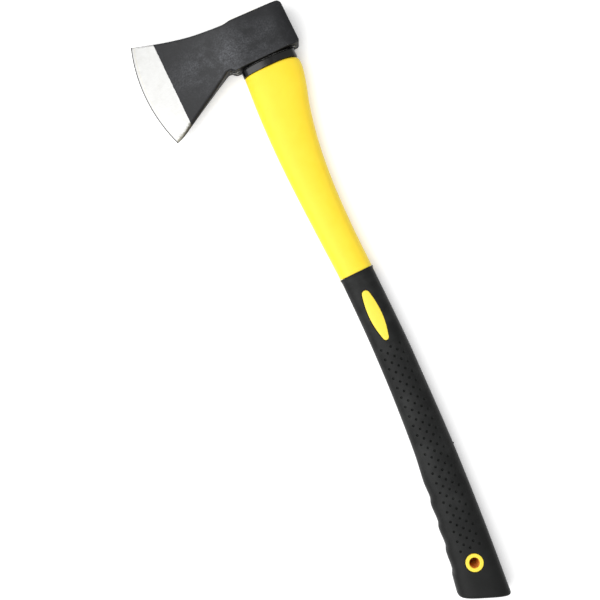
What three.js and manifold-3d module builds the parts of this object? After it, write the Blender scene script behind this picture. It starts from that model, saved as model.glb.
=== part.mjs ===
// A general-purpose axe lying flat on its cheek: forged head, resin-filled eye, black gasket,
// and a glass-fibre core in a yellow jacket with a black rubber grip.
//
// Millimetres. +Z is up and is the thickness. +Y runs along the handle from the head to the butt.
// +X points from the poll to the cutting edge. While the pieces are shaped, x = 0, y = 0 is the
// middle of the handle where it meets the gasket; the finished group is then moved so that its
// origin is the middle of the underside of its bounding box.

import * as THREE from "three";
import { mergeVertices } from "three/addons/utils/BufferGeometryUtils.js";
import Module from "manifold-3d";

const wasm = await Module();
wasm.setup();

// ---- driving dimensions ----

const GAP = 0.3; // clearance between neighbouring pieces
const THICKNESS = 36; // over the cheeks and over the butt, so that both rest on the ground
const MIDDLE = THICKNESS / 2;
const BEYOND = 1; // how far a cutting blank reaches past the faces that it cuts

const HEAD = {
  pollTop: -37.2, // back face of the poll, which leans out a little towards the handle
  pollBottom: -39.2,
  top: -61.5, // face round the top of the eye
  topEnd: 19.5, // where that face ends and steps down to the blade
  stepEnd: 32,
  stepDepth: 1.3,
  bottom: -10.15, // face round the mouth of the eye, where it crosses the handle's axis
  bottomEnd: 35, // where that face ends and curves up to the beard
  toe: -81.1, // the two ends of the cutting edge
  heel: 35.3,
  beardEnd: new THREE.Vector2(46.3, -11.7),
  notch: new THREE.Vector2(44.1, -13), // the rounded corner where the beard leaves the eye
  chinStart: new THREE.Vector2(41.5, -12.4),
  topCorner: 6.5,
  bottomCorner: 3,
  bevel: 1.5,
};
const MOUTH_SLOPE = 0.03; // the eye's mouth, the gasket and the jacket's top aren't quite square
const EDGE = { centre: new THREE.Vector2(-36.2, -30.9), radius: 175.6 }; // arc of the cutting edge

// The blade's upper and lower edges in plan, between the eye and the cutting edge: [x, y].
const BLADE_TOP = [[46, -61.6], [75, -66], [106, -73.1]];
const BEARD = [[117, 31.4], [104, 23.6], [75, 6]];

// Half the thickness of the head along x. The cheeks are parallel from CHEEK_FLAT's first x to
// its second, and hollow from there to HOLLOW_END.
const CHEEK = [
  [-40, 15], [-34, 16.7], [-26, 17.8], [-18, MIDDLE], [30, MIDDLE], [36, 16.2], [42, 13.6],
  [50, 10.6], [62, 7.8], [80, 5.9], [106, 4.6], [141, 4.1],
];
const CHEEK_FLAT = [-18, 30];
const HOLLOW_END = 62;
const CHEEK_MARGIN = 10;

// The ground bit: [distance back from the cutting arc, half thickness there].
const GRIND = [[-0.05, 0.15], [3.6, 1], [33, 4.7], [100, MIDDLE + BEYOND]];

const EYE = { x: 0.5, length: 54, width: 23, flare: 1.05 };
const TONGUE = { x: 0.5, length: 46, width: 17, power: 2.2, recess: 0.6, root: 4 };
const RESIN_RECESS = 1.4; // how far the resin lies below the top of the eye
const BEAD = { x: 0.5, length: 58.5, width: 24.5, power: 2.4, height: 0.8 }; // resin out under the eye
const COLLAR = { x: 0.2, length: 63, width: 27.6, power: 2.4 };
const CORE = { length: 18, thickness: 14, power: 3, topX: -1, buttX: 7, end: 555 };

const JACKET_TOP = -0.7;
const SHOULDER = { bitSide: 1.5, pollSide: 5 }; // rounding of the jacket's top edge
const GRIP_TOP = 243.2;
const BUTT_END = 622.2; // on the centre line; the end face is slanted
const BUTT_SLANT = Math.tan(THREE.MathUtils.degToRad(20));
const SLANT_RUN = 70; // length over which the sections lean over to the slanted end
const BUTT_ROUND = 4;
const RUBBER = 2.5; // wall of the grip
const BUTT_RUBBER = 9;
const LIP = { height: 0.7, length: 6 };

const WINDOW = { x: 3.7, y: 293.7, length: 58.6, width: 14.8, end: 4.5, turn: 0.026 };
const RING = { x: 12.5, y: 581.2, outer: 19.8, hole: 11.4 };
const LAND_PROUD = 0.2; // how far window and ring stand above the rubber

// The handle in plan and in thickness: pairs of [y, value].
const POLL_SIDE = [
  [-2, -32.3], [14, -32.2], [33, -28.2], [55, -22.5], [88, -16.7], [120, -13.6], [153, -12.3],
  [197, -12.8], [241, -14.9], [329, -18.6], [383, -19.2], [449, -19.3], [537, -16.9], [640, -11.5],
];
const BIT_SIDE = [
  [-2, 31.3], [44, 32.9], [88, 32.7], [131, 30.8], [197, 26.2], [241, 22.9], [285, 21.3],
  [329, 20.6], [383, 21.2], [449, 24.1], [482, 27.5], [536, 32.4], [563, 35.3], [602, 41.2],
  [640, 46.5],
];
const HALF_THICKNESS = [
  [0, 14], [20, 15], [60, 14.2], [110, 13.3], [241, 13.6], [300, 14.2], [400, 14.6], [500, 15],
  [560, 16], [598, MIDDLE], [640, MIDDLE],
];
const SECTION_POWER = [[0, 2.5], [240, 2.4], [500, 2.5], [600, 3.2], [640, 3.4]];

// Finger scallops on the edge of the grip that faces the bit.
const SCALLOPS = { first: 481.5, pitch: 27.1, count: 4, depth: 1.5, ridge: 0.72 };

const SIDES = 28; // points round a section of the handle

// Distance between the sections that each stretch of the handle is lofted through.
const STEP = { shaft: 19, lip: 3, grip: 34, butt: 20, scallop: SCALLOPS.pitch / 6 };
const GRIP_START = 20; // from the top of the grip to where the long sections begin
const SHAFT_START = 14;

const COLOURS = {
  axe_head: { color: 0x58595b, roughness: 0.55, metalness: 0.4 },
  eye_collar: { color: 0x1a1a18, roughness: 0.2, metalness: 0 },
  epoxy_fill: { color: 0x706f6d, roughness: 0.25, metalness: 0 },
  core_rod: { color: 0xb7a05a, roughness: 0.45, metalness: 0 },
  handle_jacket: { color: 0xfbe93f, roughness: 0.4, metalness: 0 },
  grip_sleeve: { color: 0x2b2c2b, roughness: 0.7, metalness: 0 },
};

// ---- solids and curves ----

/** A geometry as a solid that can be joined and cut. */
function solid(geometry) {
  const bare = geometry.clone();
  bare.deleteAttribute("normal");
  bare.deleteAttribute("uv");
  const merged = mergeVertices(bare, 1e-4);
  return new wasm.Manifold(
    new wasm.Mesh({
      numProp: 3,
      vertProperties: merged.attributes.position.array,
      triVerts: new Uint32Array(merged.index.array),
    }),
  );
}

/** A solid as a geometry. */
function geometryOf(body) {
  const mesh = body.getMesh();
  const geometry = new THREE.BufferGeometry();
  geometry.setAttribute("position", new THREE.BufferAttribute(mesh.vertProperties, 3));
  geometry.setIndex(new THREE.BufferAttribute(mesh.triVerts, 1));
  geometry.computeVertexNormals();
  return geometry;
}

/** A smooth curve through [place, value] pairs, read at one place. */
function smoothly(pairs, at) {
  const last = pairs.length - 1;
  let i = 0;
  while (i < last - 1 && at > pairs[i + 1][0]) i += 1;
  const slope = (k) => {
    const before = pairs[Math.max(k - 1, 0)];
    const after = pairs[Math.min(k + 1, last)];
    return (after[1] - before[1]) / (after[0] - before[0]);
  };
  const [from, start] = pairs[i];
  const [to, end] = pairs[i + 1];
  const span = to - from;
  const t = THREE.MathUtils.clamp((at - from) / span, 0, 1);
  const bend = slope(i) * span * t * (1 - t) ** 2 - slope(i + 1) * span * t * t * (1 - t);
  return start + (end - start) * t * t * (3 - 2 * t) + bend;
}

/** Closes a stack of rings with equal point counts into one surface, with a fan over each end. */
function loft(rings) {
  const sides = rings[0].length;
  const middleOf = (ring) =>
    ring.reduce((sum, p) => sum.add(p), new THREE.Vector3()).divideScalar(sides);
  const points = [...rings.flat(), middleOf(rings[0]), middleOf(rings.at(-1))];
  const firstMiddle = points.length - 2;
  const lastMiddle = points.length - 1;
  const lastRing = (rings.length - 1) * sides;
  const faces = [];
  for (let j = 0; j < sides; j += 1) {
    const next = (j + 1) % sides;
    for (let i = 0; i < rings.length - 1; i += 1) {
      const a = i * sides;
      const b = a + sides;
      faces.push(a + j, a + next, b + j, a + next, b + next, b + j);
    }
    faces.push(firstMiddle, next, j, lastMiddle, lastRing + j, lastRing + next);
  }
  const geometry = new THREE.BufferGeometry().setFromPoints(points);
  geometry.setIndex(faces);
  return geometry;
}

/** A point of a superellipse whose two sides may reach out differently. */
function sectionPoint(angle, bitReach, pollReach, rise, power) {
  const along = Math.abs(Math.cos(angle)) ** (2 / power);
  const up = Math.abs(Math.sin(angle)) ** (2 / power);
  return {
    x: Math.cos(angle) >= 0 ? bitReach * along : -pollReach * along,
    z: Math.sin(angle) >= 0 ? rise * up : -rise * up,
  };
}

/**
 * A bar along Y with a superelliptic section. Its first end is scaled by endScale, and slopes says
 * how steep its two end faces are.
 */
function ovalBar({ x, length, width, power = 2 }, from, to, { endScale = 1, slopes = [0, 0] } = {}) {
  const ring = (y, scale, slope) =>
    Array.from({ length: SIDES }, (_, j) => {
      const reach = (length / 2) * scale;
      const rise = (width / 2) * scale;
      const p = sectionPoint((-2 * Math.PI * j) / SIDES, reach, reach, rise, power);
      return new THREE.Vector3(x + p.x, y + slope * (x + p.x), MIDDLE + p.z);
    });
  return solid(loft([ring(from, endScale, slopes[0]), ring(to, 1, slopes[1])]));
}

// ---- the handle's outer form ----

/** How far the bit side of the grip is hollowed for the fingers at y. */
function scallop(y) {
  const place = (y - SCALLOPS.first) / SCALLOPS.pitch;
  if (place <= 0 || place >= SCALLOPS.count) return 0;
  const t = place % 1;
  const slow = t / SCALLOPS.ridge / 2;
  const fast = 0.5 + (t - SCALLOPS.ridge) / (1 - SCALLOPS.ridge) / 2;
  return SCALLOPS.depth * Math.sin(Math.PI * (t < SCALLOPS.ridge ? slow : fast)) ** 2;
}

/** How far the top edge of the grip stands out as a lip at y. */
function lip(y) {
  const t = THREE.MathUtils.clamp((y - GRIP_TOP) / LIP.length, 0, 1);
  return LIP.height * (1 - t) ** 2;
}

/**
 * One section of the handle at y as a ring of points. It is shrunk by inset all round, and corner
 * gives, for each angle round the section, how far its rounded end is trimmed and shifted along.
 */
function handleRing(y, { inset = 0, scallops = false, slope = 0, corner = () => [0, 0] } = {}) {
  const lean = BUTT_SLANT * THREE.MathUtils.smoothstep(y, BUTT_END - SLANT_RUN, BUTT_END);
  const drop = (lean * (smoothly(BIT_SIDE, y) - smoothly(POLL_SIDE, y))) / 2;
  const bitEdge = smoothly(BIT_SIDE, y - drop);
  const pollEdge = smoothly(POLL_SIDE, y + drop);
  const centre = (bitEdge + pollEdge) / 2;
  const hollow = scallops ? scallop(y - drop) : 0;
  const rise = Math.min(smoothly(HALF_THICKNESS, y), MIDDLE) - inset;
  const power = smoothly(SECTION_POWER, y);
  return Array.from({ length: SIDES }, (_, j) => {
    const angle = (-2 * Math.PI * j) / SIDES;
    const [trim, shift] = corner(angle);
    const bitReach = bitEdge - centre - inset - hollow - trim;
    const pollReach = centre - pollEdge - inset - trim;
    const p = sectionPoint(angle, bitReach, pollReach, rise - trim, power);
    return new THREE.Vector3(centre + p.x, y + shift + (slope - lean) * p.x, MIDDLE + p.z);
  });
}

/** Places from one y to another, about a step apart. */
function stations(from, to, step) {
  const count = Math.round((to - from) / step);
  return Array.from({ length: count + 1 }, (_, i) => THREE.MathUtils.lerp(from, to, i / count));
}

/** Rings that round the top edge of the jacket over, gently on the poll side. */
function shoulderRings() {
  const corner = (turn) => (angle) => {
    const towardsPoll = ((1 - Math.cos(angle)) / 2) ** 1.5;
    const radius = THREE.MathUtils.lerp(SHOULDER.bitSide, SHOULDER.pollSide, towardsPoll);
    return [radius * (1 - Math.sin(turn)), radius * (1 - Math.cos(turn))];
  };
  const turns = stations(0, Math.PI / 2, Math.PI / 10);
  return turns.map((turn) => handleRing(JACKET_TOP, { slope: MOUTH_SLOPE, corner: corner(turn) }));
}

/** Rings that round the end of the handle over, for a form shrunk by inset. */
function buttRings(end, inset, scallops) {
  const corner = (turn) => () => [BUTT_ROUND * (1 - Math.cos(turn)), 0];
  return stations(0, Math.PI / 2, Math.PI / 8).map((turn) => {
    const y = end - BUTT_ROUND * (1 - Math.sin(turn));
    return handleRing(y, { inset, scallops, corner: corner(turn) });
  });
}

/** The form of the grip zone, either its outside or the step that the rubber is moulded over. */
function gripForm({ from, end, inset, scallops, flared }) {
  const places = [
    ...stations(from, from + LIP.length, STEP.lip),
    ...stations(from + GRIP_START, SCALLOPS.first - STEP.shaft, STEP.grip),
    ...stations(SCALLOPS.first, end - 2 * BUTT_ROUND, scallops ? STEP.scallop : STEP.butt),
  ];
  const rings = places.map((y) => handleRing(y, { inset: inset - (flared ? lip(y) : 0), scallops }));
  return solid(loft([...rings, ...buttRings(end, inset, scallops)]));
}

/** Straight-sided blanks for the window and the ring, through the whole thickness. */
function landBlanks(margin) {
  const end = WINDOW.end + margin;
  const half = WINDOW.width / 2 + margin;
  const reach = WINDOW.length / 2 + margin - end;
  const side = (reach ** 2 + half ** 2 - end ** 2) / (2 * (half - end));
  const sweep = Math.asin(reach / (side - end));
  const outline = new THREE.Shape();
  outline.absarc(half - side, 0, side, -sweep, sweep, false);
  outline.absarc(0, reach, end, sweep, Math.PI - sweep, false);
  outline.absarc(side - half, 0, side, Math.PI - sweep, Math.PI + sweep, false);
  outline.absarc(0, -reach, end, Math.PI + sweep, 2 * Math.PI - sweep, false);
  const window = new THREE.ExtrudeGeometry(outline, {
    depth: THICKNESS + 2 * BEYOND,
    bevelEnabled: false,
    curveSegments: 8,
  });
  window.rotateZ(WINDOW.turn);
  window.translate(WINDOW.x, WINDOW.y, -BEYOND);
  return { window: solid(window), ring: post(RING.outer / 2 + margin) };
}

/** A round post through the thickness at the hanging hole. */
function post(radius) {
  const cylinder = new THREE.CylinderGeometry(radius, radius, THICKNESS + 2 * BEYOND, 36);
  cylinder.rotateX(Math.PI / 2);
  cylinder.translate(RING.x, RING.y, MIDDLE);
  return solid(cylinder);
}

// ---- the pieces ----

/** Outline of the head in plan, from the poll round to the beard. */
function headOutline() {
  const { pollTop, pollBottom, top, topEnd, topCorner, stepEnd, stepDepth, toe } = HEAD;
  const { heel, beardEnd, notch, chinStart, bottom, bottomEnd, bottomCorner } = HEAD;
  const mouth = (x) => bottom + MOUTH_SLOPE * x;
  const mouthStart = pollBottom + bottomCorner;
  const stepMiddle = (topEnd + stepEnd) / 2;
  const pointOf = ([x, y]) => new THREE.Vector2(x, y);
  const turn = (y) => Math.asin((y - EDGE.centre.y) / EDGE.radius);
  const toeX = EDGE.centre.x + EDGE.radius * Math.cos(turn(toe));
  const outline = new THREE.Shape();
  outline.moveTo(pollBottom, mouth(pollBottom) - bottomCorner);
  outline.lineTo(pollTop, top + topCorner);
  outline.quadraticCurveTo(pollTop, top, pollTop + topCorner, top);
  outline.lineTo(topEnd, top);
  outline.bezierCurveTo(stepMiddle, top, stepMiddle, top + stepDepth, stepEnd, top + stepDepth);
  outline.splineThru([...BLADE_TOP.map(pointOf), new THREE.Vector2(toeX, toe)]);
  outline.absarc(EDGE.centre.x, EDGE.centre.y, EDGE.radius, turn(toe), turn(heel), false);
  outline.splineThru([...BEARD.map(pointOf), beardEnd]);
  outline.quadraticCurveTo(notch.x, notch.y, chinStart.x, chinStart.y);
  outline.quadraticCurveTo((chinStart.x + bottomEnd) / 2, mouth(bottomEnd), bottomEnd, mouth(bottomEnd));
  outline.lineTo(mouthStart, mouth(mouthStart));
  outline.quadraticCurveTo(pollBottom, mouth(pollBottom), pollBottom, mouth(pollBottom) - bottomCorner);
  return outline;
}

/** The head in side view, as a bar across the whole head: parallel cheeks, then a hollow taper. */
function cheekTaper() {
  const [flatStart, flatEnd] = CHEEK_FLAT;
  const xs = [
    ...stations(CHEEK[0][0], flatStart, 4),
    ...stations(flatEnd, HOLLOW_END, 4),
    ...stations(HOLLOW_END + 8, CHEEK.at(-1)[0], 12),
  ];
  const upper = xs.map((x) => new THREE.Vector2(x, Math.min(smoothly(CHEEK, x), MIDDLE)));
  const lower = upper.map((p) => new THREE.Vector2(p.x, -p.y)).reverse();
  const bar = new THREE.ExtrudeGeometry(new THREE.Shape([...upper, ...lower]), {
    depth: HEAD.heel - HEAD.toe + 2 * CHEEK_MARGIN,
    bevelEnabled: false,
  });
  bar.rotateX(Math.PI / 2);
  bar.translate(0, HEAD.heel + CHEEK_MARGIN, MIDDLE);
  return solid(bar);
}

/** A disc about the centre of the cutting arc whose rim tapers to the ground edge. */
function groundDisc() {
  const { centre, radius } = EDGE;
  const rim = GRIND.map(([back, half]) => new THREE.Vector2(radius - back, half));
  const upper = [...rim, new THREE.Vector2(0, MIDDLE + BEYOND)];
  const lower = upper.map((p) => new THREE.Vector2(p.x, -p.y)).reverse();
  const disc = new THREE.LatheGeometry([...lower, ...upper], 144);
  disc.rotateX(Math.PI / 2);
  disc.translate(centre.x, centre.y, MIDDLE);
  return solid(disc);
}

function axeHead() {
  const { bevel, top, bottom } = HEAD;
  const blank = new THREE.ExtrudeGeometry(headOutline(), {
    depth: THICKNESS - 2 * bevel,
    bevelThickness: bevel,
    bevelSize: bevel,
    bevelOffset: -bevel,
    bevelSegments: 2,
    curveSegments: 8,
  });
  blank.translate(0, 0, bevel);
  const eye = ovalBar(EYE, top - BEYOND, bottom + 2 * BEYOND, { endScale: EYE.flare });
  return solid(blank).intersect(cheekTaper()).intersect(groundDisc()).subtract(eye);
}

/** The bar that stands in the eye: the tongue of the jacket, grown by margin. */
function tongue(margin) {
  const { length, width, recess, root } = TONGUE;
  const section = { ...TONGUE, length: length + 2 * margin, width: width + 2 * margin };
  return ovalBar(section, HEAD.top + recess - margin, JACKET_TOP + root);
}

function eyeCollar() {
  const slopes = [MOUTH_SLOPE, MOUTH_SLOPE];
  const top = HEAD.bottom + BEAD.height + 2 * GAP;
  return ovalBar(COLLAR, top, JACKET_TOP - GAP, { slopes }).subtract(tongue(GAP));
}

function epoxyFill() {
  const { length, width, flare } = EYE;
  const bore = { ...EYE, length: length - 2 * GAP, width: width - 2 * GAP };
  const under = HEAD.bottom + GAP;
  const fill = ovalBar(bore, HEAD.top + RESIN_RECESS, under + BEAD.height / 2, {
    endScale: flare,
    slopes: [0, MOUTH_SLOPE],
  });
  const bead = ovalBar(BEAD, under, under + BEAD.height, { slopes: [MOUTH_SLOPE, MOUTH_SLOPE] });
  return fill.add(bead).subtract(tongue(GAP));
}

/** The straight glass-fibre bar, grown by margin, which leans a little to follow the handle. */
function core(margin) {
  const { length, thickness, power, topX, buttX, end } = CORE;
  const ring = (x, y) =>
    Array.from({ length: SIDES }, (_, j) => {
      const angle = (-2 * Math.PI * j) / SIDES;
      const reach = length / 2 + margin;
      const p = sectionPoint(angle, reach, reach, thickness / 2 + margin, power);
      return new THREE.Vector3(x + p.x, y, MIDDLE + p.z);
    });
  return solid(loft([ring(topX, HEAD.top + TONGUE.recess - margin), ring(buttX, end + margin)]));
}

function handleJacket() {
  const seat = GRIP_TOP - GAP;
  const inset = RUBBER + GAP;
  const shaft = stations(SHAFT_START, seat, STEP.shaft).map((y) => handleRing(y));
  const under = gripForm({ from: seat, end: BUTT_END - BUTT_RUBBER - GAP, inset });
  const outside = gripForm({ from: GRIP_TOP, end: BUTT_END, inset: -LAND_PROUD });
  const lands = landBlanks(0);
  return solid(loft([...shoulderRings(), ...shaft]))
    .add(under)
    .add(lands.window.add(lands.ring).intersect(outside))
    .add(tongue(0))
    .subtract(core(GAP))
    .subtract(post(RING.hole / 2));
}

function gripSleeve() {
  const lands = landBlanks(GAP);
  const under = gripForm({ from: GRIP_TOP - GAP, end: BUTT_END - BUTT_RUBBER, inset: RUBBER });
  return gripForm({ from: GRIP_TOP, end: BUTT_END, inset: 0, scallops: true, flared: true })
    .subtract(under)
    .subtract(lands.window)
    .subtract(lands.ring);
}

// ---- the axe ----

const PIECES = {
  axe_head: axeHead,
  eye_collar: eyeCollar,
  epoxy_fill: epoxyFill,
  core_rod: () => core(0),
  handle_jacket: handleJacket,
  grip_sleeve: gripSleeve,
};

const lying = new THREE.Group();
for (const [name, make] of Object.entries(PIECES)) {
  const mesh = new THREE.Mesh(geometryOf(make()), new THREE.MeshStandardMaterial(COLOURS[name]));
  mesh.name = name;
  lying.add(mesh);
}

const extent = new THREE.Box3().setFromObject(lying);
const middle = extent.getCenter(new THREE.Vector3());
lying.position.set(-middle.x, -middle.y, -extent.min.z);

const axe = new THREE.Group();
axe.add(lying);

export default axe;
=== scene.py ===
# A general-purpose axe lying on its cheek: the looks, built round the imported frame.
#
# Shapes are worked out in millimetres in a shaping frame: x = 0, y = 0 is the middle of the handle
# where it meets the gasket, z = 0 is the ground and z = 18 the mid-plane. to_frame() turns them into
# the frame's metres. +Y runs from the head to the butt, and +X from the poll to the cutting edge.

import math

import bmesh
import bpy
import numpy as np
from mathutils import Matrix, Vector
from mathutils.geometry import delaunay_2d_cdt


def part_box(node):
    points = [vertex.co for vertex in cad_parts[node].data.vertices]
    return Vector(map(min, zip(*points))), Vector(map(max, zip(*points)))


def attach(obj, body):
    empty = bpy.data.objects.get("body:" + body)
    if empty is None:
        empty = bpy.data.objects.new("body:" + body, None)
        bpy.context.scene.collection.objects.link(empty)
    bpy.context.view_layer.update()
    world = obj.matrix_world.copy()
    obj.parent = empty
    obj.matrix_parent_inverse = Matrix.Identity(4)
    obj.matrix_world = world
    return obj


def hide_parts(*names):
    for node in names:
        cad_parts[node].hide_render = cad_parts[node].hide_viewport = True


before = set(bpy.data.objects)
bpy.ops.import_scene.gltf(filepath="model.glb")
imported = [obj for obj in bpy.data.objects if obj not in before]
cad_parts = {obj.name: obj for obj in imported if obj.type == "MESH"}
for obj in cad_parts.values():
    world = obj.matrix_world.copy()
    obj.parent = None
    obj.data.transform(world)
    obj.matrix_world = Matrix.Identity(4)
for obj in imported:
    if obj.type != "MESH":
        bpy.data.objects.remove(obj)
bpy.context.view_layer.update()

# ---- driving dimensions, in millimetres ----

MM = 0.001
THICKNESS = 36
MIDDLE = THICKNESS / 2

POLL_TOP = -37.2  # back face of the poll, which leans out a little towards the handle
POLL_BOTTOM = -39.2
HEAD_TOP = -61.5
TOP_END = 19.5  # the face round the top of the eye ends here and steps down to the blade
STEP_END = 32
STEP_DEPTH = 1.3
HEAD_BOTTOM = -10.15  # the face round the eye's mouth, where it crosses the handle's axis
MOUTH_SLOPE = 0.03  # that face, the gasket and the jacket's top aren't quite square to the handle
BOTTOM_END = 35
TOE = -81.1  # the two ends of the cutting edge
HEEL = 35.3
BEARD_END = (46.3, -11.7)
NOTCH = (44.1, -13)
CHIN_START = (41.5, -12.4)
TOP_CORNER = 6.5
BOTTOM_CORNER = 3
EDGE_CENTRE = (-36.2, -30.9)  # the cutting edge is an arc
EDGE_RADIUS = 175.6
BLADE_TOP = [(46, -61.6), (75, -66), (106, -73.1)]
BEARD = [(75, 6), (104, 23.6), (117, 31.4)]
CHEEK = [
    (-40, 15), (-34, 16.7), (-26, 17.8), (-18, MIDDLE), (14, MIDDLE), (26, 17.5), (36, 15.9),
    (46, 13.4), (56, 10.6), (66, 8.4), (80, 6.5), (106, 4.6), (141, 4.1),
]
MASK = ((108.2, -74.7), (104.6, 23.0))  # the paint ends on the straight line through these points
MICRO_BEVEL = 3.6  # width of the last, steeper bevel along the cutting edge
MICRO_HALF = 1.0
EDGE_HALF = 0.12
BEVEL_LINE = (-0.285, 0.378)  # angles where the micro bevel's line ends, just short of toe and heel
ROUNDING = 1.5  # width and depth of the rounding along the head's edges
BEARD_ROUNDING = (2.4, 2.6)  # how much wider and deeper it is under the beard
HEEL_SIDE = (-0.47, 0.883)  # the way out of the blade across its lower edge at the heel
PALE_PATCH = (42.0, -27.0, 0.0)  # the middle of the paler part of the cheeks
PALE_REACH = (66, 27)  # how far it goes across and along the handle

EYE = {"x": 0.5, "length": 54, "width": 23, "power": 2, "flare": 1.05}
TONGUE = {"x": 0.5, "length": 46, "width": 17, "power": 2.2, "recess": 0.6}
RESIN_RECESS = 1.4
BEAD = {"x": 0.5, "length": 57.5, "width": 23.6, "power": 2.4}
DROPS = [  # place and size of each drop of resin that was squeezed out under the head
    (34.5, -8.9, 25, 1.3), (36.8, -9.1, 22, 1.4), (39.2, -10.3, 19, 1.3), (42.2, -12.0, 20.5, 1.0),
    (35.4, -8.9, 15, 1.4), (-31.6, -10.6, 24, 1.4), (-30.8, -10.6, 15, 1.0), (-34.2, -10.9, 17, 0.8),
    (-25.5, -12.0, 34.9, 0.9), (-35.2, -12.4, 33.6, 0.8),
]
COLLAR = {"x": 0.2, "length": 63.4, "width": 27.8, "power": 2.4}
SAG_POLL = 2.4  # the seam under the collar dips towards the butt at the edges
SAG_BIT = 0.3
CORE = {"x": -1, "length": 18, "width": 14, "power": 3, "butt_x": 7, "end": 555}

JACKET_TOP = -0.7
SHOULDER_BIT = 1.5  # rounding of the jacket's top edge, gentle on the poll side
SHOULDER_POLL = 5
SHAFT_START = 14
GRIP_TOP = 243.2
BUTT_END = 622.2
SLANT = math.tan(math.radians(20))
SLANT_RUN = 70
BUTT_ROUND = 4
RUBBER = 2.5
BUTT_RUBBER = 9
GAP = 0.3
LIP_HEIGHT = 1.1
LIP_LENGTH = 5
LIP_SLANT = 0.045  # the grip's top edge isn't quite square to the handle
LIP_SPREAD = 25
WINDOW = {"x": 3.7, "y": 293.7, "length": 58.6, "width": 14.8, "end": 4.5, "turn": 0.026, "taper": 0.18}
RING = {"x": 12.5, "y": 581.2, "outer": 9.9, "hole": 5.7}
LAND_PROUD = 0.2

POLL_SIDE = [
    (-2, -32.3), (14, -32.2), (33, -28.2), (55, -22.5), (88, -16.7), (120, -13.6), (153, -12.3),
    (197, -12.8), (241, -14.9), (329, -18.6), (383, -19.2), (449, -19.3), (537, -16.9), (640, -11.5),
]
BIT_SIDE = [
    (-2, 31.3), (44, 32.9), (88, 32.7), (131, 30.8), (197, 26.2), (241, 22.9), (285, 21.3),
    (329, 20.6), (383, 21.2), (449, 24.1), (482, 27.5), (536, 32.4), (563, 35.3), (602, 41.2),
    (640, 46.5),
]
HALF_THICKNESS = [
    (0, 14), (20, 15), (60, 14.2), (110, 13.3), (241, 13.6), (300, 14.2), (400, 14.6), (500, 15),
    (560, 16), (598, MIDDLE), (640, MIDDLE),
]
SECTION_POWER = [(0, 2.5), (240, 2.4), (500, 2.5), (600, 3.2), (640, 3.4)]
SCALLOPS = {"first": 481.5, "pitch": 27.1, "count": 4, "depth": 1.5, "ridge": 0.72}

DIMPLES = {"first": 331.1, "last": 564.5, "rows": 43, "column": 5.6, "radius": 1.3, "depth": 1.6}
DIMPLE_LINE = [(330, 2.2), (416, 2.8), (489, 4.7), (534, 7.7), (570, 10.6)]
DIMPLE_ROOM = 2.1  # the skin's other points stay this far from a dimple's middle
NUB = 456  # station of a nub of flash on the parting line

MERGE = 0.004  # points closer than this are one point
SLIVER = 0.002

# ---- light and camera, in metres and degrees ----

FLOOR_GLOW = 0.24
BOX_SIZE = (1.54, 2.0)
BOX_DISTANCE = 1.45
BOX_TILT = 28
BOX_RADIANCE = 3.0
FILL = 0.58
CAMERA = {"place": (0.0221, -0.029, 1.168), "turn": 156.5, "lens": 63, "sensor": 36}

# The frame's head gives the shaping frame's place: its lowest corner is the poll and the toe.
head_low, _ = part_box("axe_head")
SHIFT = np.array([head_low.x / MM - POLL_BOTTOM, head_low.y / MM - TOE, 0])


def to_frame(points):
    """Points of the shaping frame, in millimetres, as points of the row frame, in metres."""
    return (np.asarray(points, float).reshape(-1, 3) + SHIFT) * MM


# ---- curves and sections ----


def smoothly(pairs, at):
    """A smooth curve through (place, value) pairs, read at an array of places."""
    places, values = np.array(pairs, float).T
    at = np.clip(np.asarray(at, float), places[0], places[-1])
    slopes = np.gradient(values, places)
    slopes[1:-1] = (values[2:] - values[:-2]) / (places[2:] - places[:-2])
    i = np.clip(np.searchsorted(places, at) - 1, 0, len(places) - 2)
    span = places[i + 1] - places[i]
    t = (at - places[i]) / span
    bend = slopes[i] * span * t * (1 - t) ** 2 - slopes[i + 1] * span * t * t * (1 - t)
    return values[i] + (values[i + 1] - values[i]) * t * t * (3 - 2 * t) + bend


def smoothstep(at, start, end):
    t = np.clip((np.asarray(at, float) - start) / (end - start), 0, 1)
    return t * t * (3 - 2 * t)


def stations(start, end, step):
    """Places from start to end, about a step apart."""
    return np.linspace(start, end, max(2, round(abs(end - start) / step) + 1))


def bezier(corners, count):
    """Points along a Bezier curve with those corners, without its last point."""
    t = np.linspace(0, 1, count, endpoint=False)[:, None]
    points = [np.array(c, float) * np.ones((count, 2)) for c in corners]
    while len(points) > 1:
        points = [a * (1 - t) + b * t for a, b in zip(points, points[1:])]
    return points[0]


def around(x, y, radius, angles):
    """Plan points on a circle, at those angles."""
    return np.stack([x + radius * np.cos(angles), y + radius * np.sin(angles)], axis=-1)


def superellipse(angle, reach, rise, power):
    """Across and up of a superellipse's point at an angle, where reach may differ by side."""
    across = np.sign(np.cos(angle)) * reach * np.abs(np.cos(angle)) ** (2 / power)
    up = np.sign(np.sin(angle)) * rise * np.abs(np.sin(angle)) ** (2 / power)
    return across, up


def even_turns():
    """A table from the share of the way round a typical section to the angle there."""
    angles = np.linspace(math.pi, -math.pi, 8193)
    across, up = superellipse(angles, 21, 14.5, 2.45)
    walked = np.concatenate([[0], np.cumsum(np.hypot(np.diff(across), np.diff(up)))])
    return walked / walked[-1], angles


TURNS, ANGLES = even_turns()
GIRTH = 112  # a typical girth, which makes a flat map of the skin about true to scale
CROWN = 0.25  # turns: 0 is the poll edge, then the upper crown, the bit edge and the lower crown
BIT_EDGE = 0.5


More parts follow.
